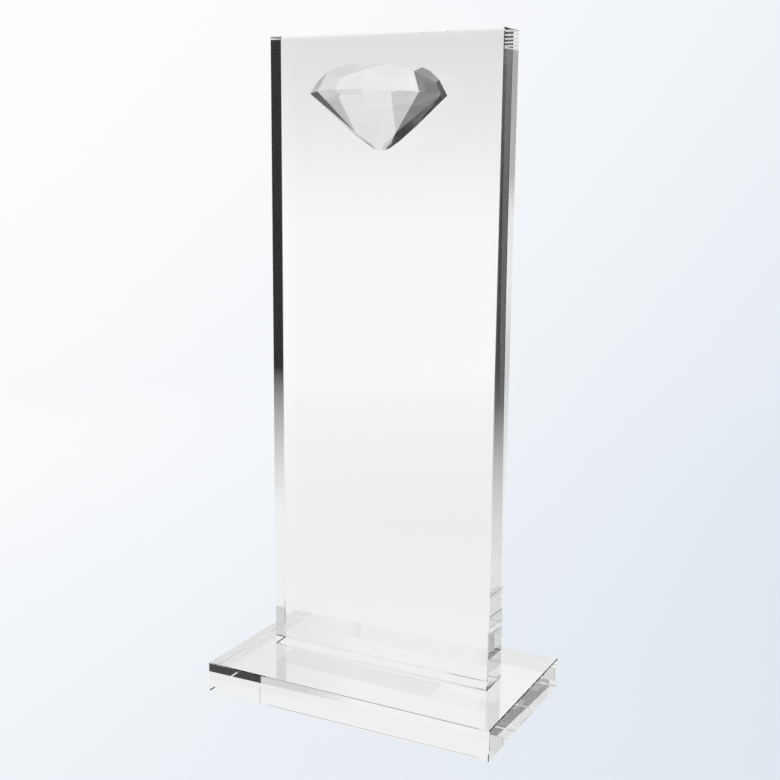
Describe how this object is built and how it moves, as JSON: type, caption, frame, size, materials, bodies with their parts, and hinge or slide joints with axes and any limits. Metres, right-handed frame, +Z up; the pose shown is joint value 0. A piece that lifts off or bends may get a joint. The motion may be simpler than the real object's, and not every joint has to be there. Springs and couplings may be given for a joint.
{
  "type": "crystal award",
  "caption": "Clear crystal award: upright rectangular slab on a flat base plate, with a half brilliant-cut diamond bonded near the top of its front face.",
  "frame": {"origin": "centre of the base plate's underside", "axes": "+Z up along the slab's height, -Y out of the front face that carries the diamond, +X to the right of someone who looks at the front"},
  "size_m": [0.121, 0.071, 0.2541],
  "materials": {
    "crystal_plate": "polished",
    "crystal_gem": "polished",
    "clear_adhesive": "cured, clear"
  },
  "bodies": {
    "root": {"base_plate": "crystal_plate", "base_bond_film": "clear_adhesive", "upright_slab": "crystal_plate", "gem_bond_film": "clear_adhesive", "half_diamond": "crystal_gem"}
  },
  "joints": []
}
